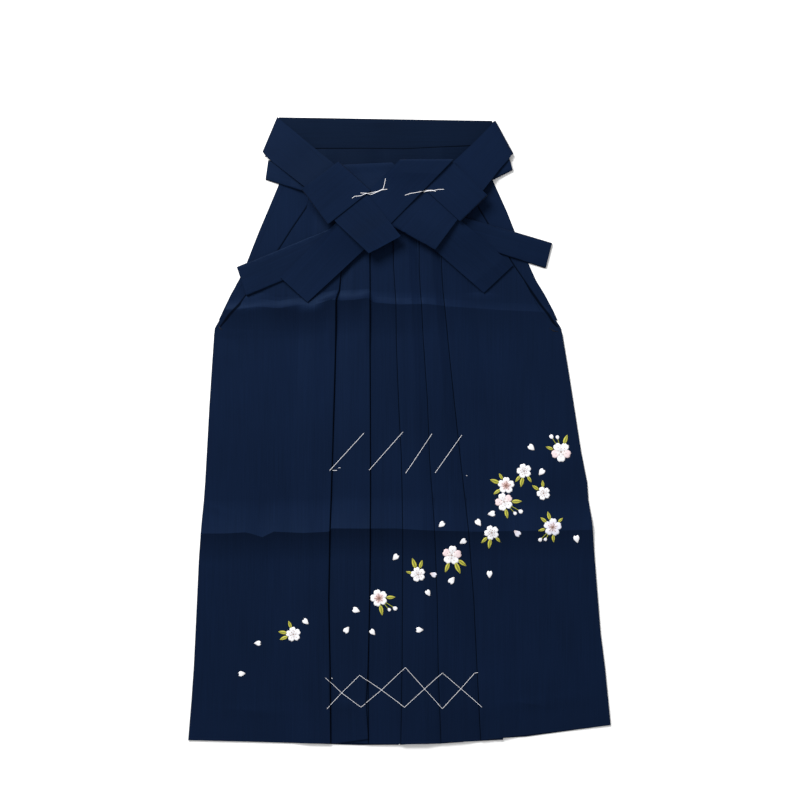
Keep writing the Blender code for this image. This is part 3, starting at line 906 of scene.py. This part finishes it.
# Blossoms: pixel x, pixel y, width in millimetres, direction of one petal in degrees, colour, then the pixels
# of the leaves' tips and of the buds with their widths
BLOSSOMS = (
    (561, 452, 32, -90, "pink", ((567.2, 434.6), (545.6, 446.8)),
     ((551.4, 436.8, 8.2), (557.4, 437.4, 7.0))),
    (524, 471, 24, 105, "white", ((515.3, 481.8), (520.8, 487.0), (531.4, 482.2)), ()),
    (506, 485.4, 27, 88, "blush", ((499, 473.2), (489.8, 479.4), (493.4, 494.2)), ()),
    (504, 501.8, 29, 110, "pink", ((521.8, 501.2), (507.5, 518.4)),
     ((514.8, 513.0, 7.0), (520.4, 511.2, 8.4))),
    (543.4, 493.2, 22, 112, "white", ((542.4, 480.2), (532.0, 485.2)), ()),
    (552.3, 527, 29, 85, "lilac",
     ((547.4, 511.4), (540.3, 517.2), (562.8, 517.8), (538, 530.6), (553.4, 542.2)),
     ((540.2, 539.4, 7.6), (545.3, 539.0, 6.6))),
    (491.4, 532.4, 24, 112, "white", ((481.2, 542.8), (488.6, 548.4), (500.2, 542.0)), ()),
    (451.8, 555, 31, 83, "pink", ((445.2, 572.0), (460.2, 573.2), (466.2, 565.8)), ()),
    (418, 574, 24, 105, "white", ((412.2, 557.8), (422.2, 559.6), (406, 571.4)), ()),
    (379, 597.7, 28, 108, "blush", ((395.4, 596.8), (382.4, 615)),
     ((389.2, 609.2, 6.6), (395.0, 608.0, 8.2))),
    (293.5, 634, 24, 100, "white", ((288.6, 620.6), (278.4, 631.4), (280, 639.4)), ()),
)
# Falling petals: pixel x, pixel y, direction of the pointed end in degrees, length in millimetres, colour
FALLING_PETALS = (
    (531.3, 447.5, -42, 13.0, "white"),
    (541.4, 472.0, -128, 13.0, "white"),
    (491.5, 513.5, 188, 13.0, "white"),
    (478.2, 522.3, -52, 13.0, "white"),
    (517.0, 533.0, 140, 13.5, "lilac"),
    (576.4, 538.8, -76, 13.5, "white"),
    (441.5, 524.0, -140, 12.0, "white"),
    (462.9, 541.3, -150, 12.5, "white"),
    (395.5, 557.0, -132, 12.5, "white"),
    (433.4, 574.3, 160, 11.5, "lilac"),
    (451.7, 580.0, 52, 13.5, "white"),
    (489.4, 574.0, -90, 12.5, "white"),
    (428.1, 592.5, -60, 11.5, "white"),
    (419.5, 629.3, 0, 12.5, "white"),
    (356.2, 609.8, -20, 13.0, "white"),
    (346.7, 629.5, 52, 12.5, "white"),
    (372.6, 631.8, -48, 12.0, "white"),
    (305.9, 621.3, -42, 12.0, "white"),
    (257.8, 643.0, 180, 11.5, "white"),
    (241.9, 673.5, 5, 11.5, "white"),
)


def satin_stitch(name, root, tip, edge=None, threads=15):
    """Rayon embroidery thread in satin stitch, lying side by side from a form's root to its tip.

    Rayon shines like silk, so each row catches the light, and painted shade darkens the colour between the
    rows.
    The real threads are 0.4 mm wide; they are drawn about twice as wide to show.
    """
    material = bpy.data.materials.new(name)
    material.use_nodes = True
    tree = material.node_tree
    shader = tree.nodes["Principled BSDF"]
    shader.inputs["Roughness"].default_value = 0.42
    shader.inputs["Specular IOR Level"].default_value = 0.4
    laid = add_node(tree, "ShaderNodeUVMap", uv_map="threads")
    parts = add_node(tree, "ShaderNodeSeparateXYZ", links={"Vector": laid.outputs["UV"]})
    # One band of the wave for each thread across the form
    rows = add_node(
        tree,
        "ShaderNodeTexWave",
        {"Scale": threads * math.pi / 10, "Distortion": 0.6, "Detail": 1.0, "Detail Scale": 3.0},
        {"Vector": laid.outputs["UV"]},
        bands_direction="X",
    )
    relief = add_node(
        tree, "ShaderNodeBump", {"Strength": 0.6, "Distance": 0.0002}, {"Height": rows.outputs["Fac"]}
    )
    along = add_node(
        tree, "ShaderNodeMapRange", {"From Min": 0.1, "From Max": 0.75}, {"Value": parts.outputs["Y"]}
    )
    colour = add_node(
        tree,
        "ShaderNodeMix",
        {"A": linear(root), "B": linear(tip)},
        {"Factor": along.outputs["Result"]},
        data_type="RGBA",
    )
    if edge:
        middle = add_node(
            tree, "ShaderNodeMath", {1: 0.5}, {0: parts.outputs["X"]}, operation="SUBTRACT"
        )
        aside = add_node(tree, "ShaderNodeMath", links={0: middle.outputs["Value"]}, operation="ABSOLUTE")
        share = add_node(
            tree, "ShaderNodeMapRange", {"From Min": 0.1, "From Max": 0.3}, {"Value": aside.outputs["Value"]}
        )
        colour = add_node(
            tree,
            "ShaderNodeMix",
            {"B": linear(edge)},
            {"Factor": share.outputs["Result"], "A": colour.outputs["Result"]},
            data_type="RGBA",
        )
    # Painted shade: the colour is darker between the rows of thread
    row_shade = add_node(
        tree,
        "ShaderNodeMapRange",
        {"To Min": 0.82, "To Max": 1.0},
        {"Value": rows.outputs["Fac"]},
    )
    shaded = add_node(
        tree,
        "ShaderNodeMix",
        {"Factor": 1.0},
        {"A": colour.outputs["Result"], "B": row_shade.outputs["Result"]},
        data_type="RGBA",
        blend_type="MULTIPLY",
    )
    tree.links.new(shaded.outputs["Result"], shader.inputs["Base Color"])
    tree.links.new(relief.outputs["Normal"], shader.inputs["Normal"])
    return material


RAYON = {
    "white": satin_stitch("white_rayon", "#E2E0E2", "#F6F6FA"),
    "pink": satin_stitch("pale_pink_rayon", "#F6F0F0", "#EAD4D7"),
    "blush": satin_stitch("white_rayon_with_pink_root", "#D9AFA8", "#F6F6FA"),
    "lilac": satin_stitch("lilac_rayon", "#E0D0D2", "#E4E5F2"),
    "leaf": satin_stitch("yellow_green_rayon", "#86882A", "#7C7E20", "#CCC94E", threads=11),
    "stamen": spun_thread("pink_brown_rayon", "#A27C70", 0.45),
    "stem": spun_thread("green_stem_rayon", "#A9B03C", 0.45),
}
front_top = [dressed["front_panel_cloth"]]


def stitched_form(bm, root, turn, outline, tilt=0.0, across=FACES_ACROSS, along=FACES_ALONG, vein=0.0):
    """One satin-stitched form lying on the front, from its root in the direction of turn.

    Outline gives the place along the form and beside it for s, from -1 to 1 across, and t, from 0 at the root
    to 1 at the tip. The pile is highest in the middle and falls to the rims, and a vein is a groove in it.
    """
    made = bmesh.ops.create_grid(bm, x_segments=across, y_segments=along, size=1.0, calc_uvs=True)
    angle = math.radians(turn)
    for vert in made["verts"]:
        s, t = vert.co.x, (vert.co.y + 1) / 2
        far, aside = outline(s, t)
        x = root[0] + far * math.cos(angle) - aside * math.sin(angle)
        y = root[1] + far * math.sin(angle) + aside * math.cos(angle)
        swell = (1 - s * s) ** 0.5 * min(1.0, 4 * (1 - t) + 0.15) ** 0.5
        groove = vein * max(0.0, 1 - abs(s) * 5)
        rise = EMBROIDERY_WALL + OFF_CLOTH + PILE * swell - groove + tilt * s
        vert.co = Vector((x, y, height_at(x, y, front_top) + rise)) * MM


def petal_outline(length, spread, roundness, notch):
    """A petal that fans out from its root by the angle spread to both sides, with a notch in its rim."""

    def outline(s, t):
        angle = s * spread
        reach = length * max(math.cos(0.985 * s * math.pi / 2), 0.0) ** roundness
        reach *= 1 - notch * math.exp(-((angle / 0.11) ** 2))
        reach *= 0.07 + 0.93 * t
        return reach * math.cos(angle), reach * math.sin(angle)

    return outline


def leaf_outline(length, width):
    """A pointed leaf, widest a little nearer to its root than to its tip."""

    def outline(s, t):
        return length * t, width / 2 * s * math.sin(math.pi * min(1.0, t**0.8 * 0.97 + 0.02)) ** 0.85

    return outline


def new_forms():
    """An empty mesh whose UV map runs across and along the threads of each form."""
    bm = bmesh.new()
    bm.loops.layers.uv.new("threads")
    return bm


def show_forms(bm, name, material):
    """Close the forms with a thin underside and show them as one piece."""
    bmesh.ops.recalc_face_normals(bm, faces=bm.faces)
    piece = show(bm, name, material)
    wall = piece.modifiers.new("wall", "SOLIDIFY")
    wall.thickness = EMBROIDERY_WALL * MM
    wall.offset = -1.0
    return piece


for colour in ("white", "pink", "blush", "lilac"):
    petals = new_forms()
    for px, py, width, turn, own_colour, _, _ in BLOSSOMS:
        shape = petal_outline(width / 2, *BLOSSOM_PETAL)
        for i in range(5):
            petal_colour = "white" if own_colour == "pink" and i not in PINK_PETALS else own_colour
            if petal_colour == colour:
                stitched_form(petals, seen(px, py), turn + 72 * i, shape, tilt=PETAL_TILT)
    show_forms(petals, f"blossoms_{colour}", RAYON[colour])

for colour in ("white", "lilac"):
    petals = new_forms()
    for px, py, turn, length, own_colour in FALLING_PETALS:
        if own_colour == colour:
            x, y = seen(px, py)
            away = math.radians(turn)
            root = (x + length / 2 * math.cos(away), y + length / 2 * math.sin(away))
            stitched_form(petals, root, turn + 180, petal_outline(length, *FALLING_PETAL))
    show_forms(petals, f"falling_petals_{colour}", RAYON[colour])

LEAF_START = 0.40  # distance from the blossom's middle, as a share of its width
LEAF_SHARE = 0.33  # a leaf's width is this share of its length, and the next value is added
LEAF_LEAST = 1.0
VEIN = 0.35
leaves = new_forms()
for px, py, width, _, _, tips, _ in BLOSSOMS:
    cx, cy = seen(px, py)
    for tip in tips:
        tx, ty = seen(*tip)
        apart = math.hypot(tx - cx, ty - cy)
        start = LEAF_START * width / apart
        root = (cx + (tx - cx) * start, cy + (ty - cy) * start)
        length = apart * (1 - start)
        turn = math.degrees(math.atan2(ty - cy, tx - cx))
        shape = leaf_outline(length, LEAF_SHARE * length + LEAF_LEAST)
        stitched_form(leaves, root, turn, shape, across=6, vein=VEIN)
show_forms(leaves, "leaves", RAYON["leaf"])

STEM_START = 0.42  # distance from the blossom's middle, as a share of its width
STEM_UNDER = 1.2  # how far a stem runs on under its bud
STEM_THREAD = 0.9
buds = new_forms()
stems = []
for px, py, width, _, _, _, own_buds in BLOSSOMS:
    cx, cy = seen(px, py)
    for bud_x, bud_y, size in own_buds:
        bx, by = seen(bud_x, bud_y)
        apart = math.hypot(bx - cx, by - cy)
        out_x, out_y = (bx - cx) / apart, (by - cy) / apart
        turn = math.degrees(math.atan2(out_y, out_x))
        root = (bx - out_x * size / 2, by - out_y * size / 2)
        stitched_form(buds, root, turn, petal_outline(size, *BUD), along=4)
        rim = STEM_START * width
        stem_end = (root[0] + out_x * STEM_UNDER, root[1] + out_y * STEM_UNDER)
        stems.append([(cx + out_x * rim, cy + out_y * rim), stem_end])
show_forms(buds, "buds", RAYON["white"])
sewn_threads("bud_stems", stems, STEM_THREAD, RAYON["stem"], front_top)

# Each blossom's stamens are straight stitches from its middle, with a knot at the end of each
STAMENS = 10
STAMEN_REACH = (0.5, 0.34)  # every other one is shorter, as shares of the blossom's half width
STAMEN_START = 0.6
STAMEN_THREAD = 0.45
MIDDLE_KNOT = 1.1
END_KNOT = 0.7
KNOT_FLAT = Matrix.Diagonal((1.0, 1.0, 0.6, 1.0))
chance = random.Random(7)
filaments = []
knots = bmesh.new()
for px, py, width, turn, colour, _, _ in BLOSSOMS:
    cx, cy = seen(px, py)
    places = [(cx, cy, MIDDLE_KNOT)]
    for i in range(STAMENS):
        angle = math.radians(turn + 360 / STAMENS * i + chance.uniform(-6, 6))
        reach = width / 2 * STAMEN_REACH[i % 2] * chance.uniform(0.9, 1.1)
        end = (cx + reach * math.cos(angle), cy + reach * math.sin(angle))
        places.append((*end, END_KNOT))
        if colour in ("blush", "lilac"):
            start = (cx + STAMEN_START * math.cos(angle), cy + STAMEN_START * math.sin(angle))
            filaments.append([start, end])
    for x, y, size in places:
        top = height_at(x, y, front_top) + PILE + EMBROIDERY_WALL
        bmesh.ops.create_icosphere(
            knots,
            subdivisions=1,
            radius=size * MM,
            matrix=Matrix.Translation(Vector((x, y, top)) * MM) @ KNOT_FLAT,
        )
show(knots, "stamen_knots", RAYON["stamen"])
under_stamens = [dressed[name] for name in ("blossoms_blush", "blossoms_lilac", "stamen_knots")]
sewn_threads("stamen_stitches", filaments, STAMEN_THREAD, RAYON["stamen"], under_stamens)

# Floor and light. The garment lies on a pale studio table. One large soft light stands at the upper left, and
# a bright room fills the shadows. Matt white paper covers the table, even and without a shine.
FLOOR_HALF = 5.0  # this section is in metres
FLOOR_GAP = 0.0004
LIGHT_PLACE = (-1.25, 2.1, 2.3)
LIGHT_AIM = (0.0, 0.05, 0.0)

floor_mesh = bmesh.new()
bmesh.ops.create_grid(floor_mesh, x_segments=1, y_segments=1, size=FLOOR_HALF)
floor_data = bpy.data.meshes.new("studio_table")
floor_mesh.to_mesh(floor_data)
floor_mesh.free()
floor_data.transform(Matrix.Translation((0.0, 0.0, -FLOOR_GAP)))
floor = bpy.data.objects.new("studio_table", floor_data)
paper = bpy.data.materials.new("pale_matt_paper")
paper.use_nodes = True
paper.node_tree.nodes["Principled BSDF"].inputs["Base Color"].default_value = linear("#FFFFFF")
paper.node_tree.nodes["Principled BSDF"].inputs["Roughness"].default_value = 0.9
floor_data.materials.append(paper)
bpy.context.scene.collection.objects.link(floor)

key = bpy.data.lights.new("window", "AREA")
key.shape = "DISK"
key.size = 1.6
key.energy = 145.0
key_light = bpy.data.objects.new("window", key)
key_light.location = LIGHT_PLACE
to_garment = Vector(LIGHT_AIM) - Vector(LIGHT_PLACE)
key_light.rotation_euler = to_garment.to_track_quat("-Z", "Y").to_euler()
bpy.context.scene.collection.objects.link(key_light)

world = bpy.data.worlds.new("bright_room")
world.use_nodes = True
world.node_tree.nodes["Background"].inputs["Color"].default_value = linear("#FFFFFF")
world.node_tree.nodes["Background"].inputs["Strength"].default_value = 0.6
bpy.context.scene.world = world
bpy.context.scene.view_settings.view_transform = "Standard"
